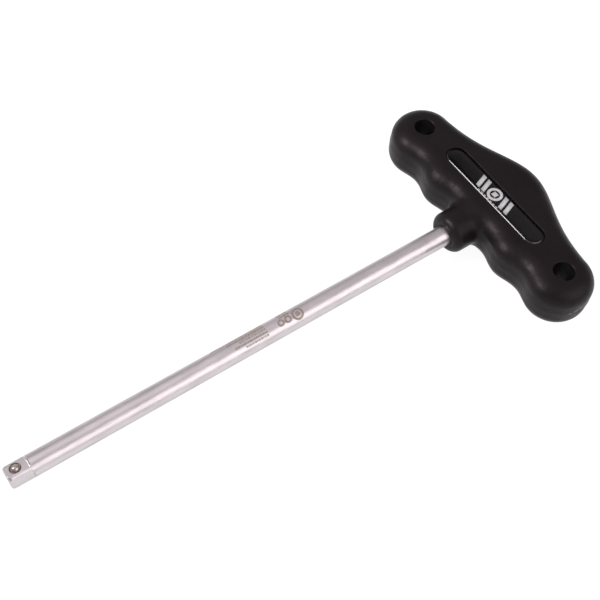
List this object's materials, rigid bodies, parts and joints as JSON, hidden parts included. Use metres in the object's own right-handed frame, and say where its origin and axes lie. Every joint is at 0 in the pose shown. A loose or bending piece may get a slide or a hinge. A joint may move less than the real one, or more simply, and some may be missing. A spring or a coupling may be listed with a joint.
{
  "type": "t-handle square drive wrench",
  "caption": "T-handle hand driver: steel shank with a quarter-inch square drive and spring detent ball in a moulded grip with finger waves and hanging holes.",
  "frame": {"origin": "centre of the square drive's end face", "axes": "+X runs along the shank from the drive to the grip, +Y along the bar of the T, +Z out of the front badge, on the same side as the detent ball"},
  "size_m": [0.2294, 0.1086, 0.0206],
  "materials": {
    "satin_chrome_steel": "satin chrome plate over fine lengthwise polishing lines",
    "ball_steel": "polished hardened steel",
    "spring_wire": "drawn spring wire",
    "grip_plastic": "black moulded plastic with a fine satin grain",
    "badge_print": "black printed foil with plain white marks",
    "badge_resin": "clear domed resin"
  },
  "bodies": {
    "tool": {"shank": "satin_chrome_steel", "grip": "grip_plastic", "detent_spring": "spring_wire", "badge_foil_front": "badge_print", "badge_dome_front": "badge_resin", "badge_foil_back": "badge_print", "badge_dome_back": "badge_resin"},
    "ball": {"detent_ball": "ball_steel"}
  },
  "joints": [
    {"name": "ball_press", "type": "slide", "parent": "tool", "child": "ball", "axis": [0, -0.1736, -0.9848], "range_m": [0, 0.00095], "stiffness_N_per_m": 2000, "springref_m": -0.001, "deforming": ["detent_spring"]}
  ]
}
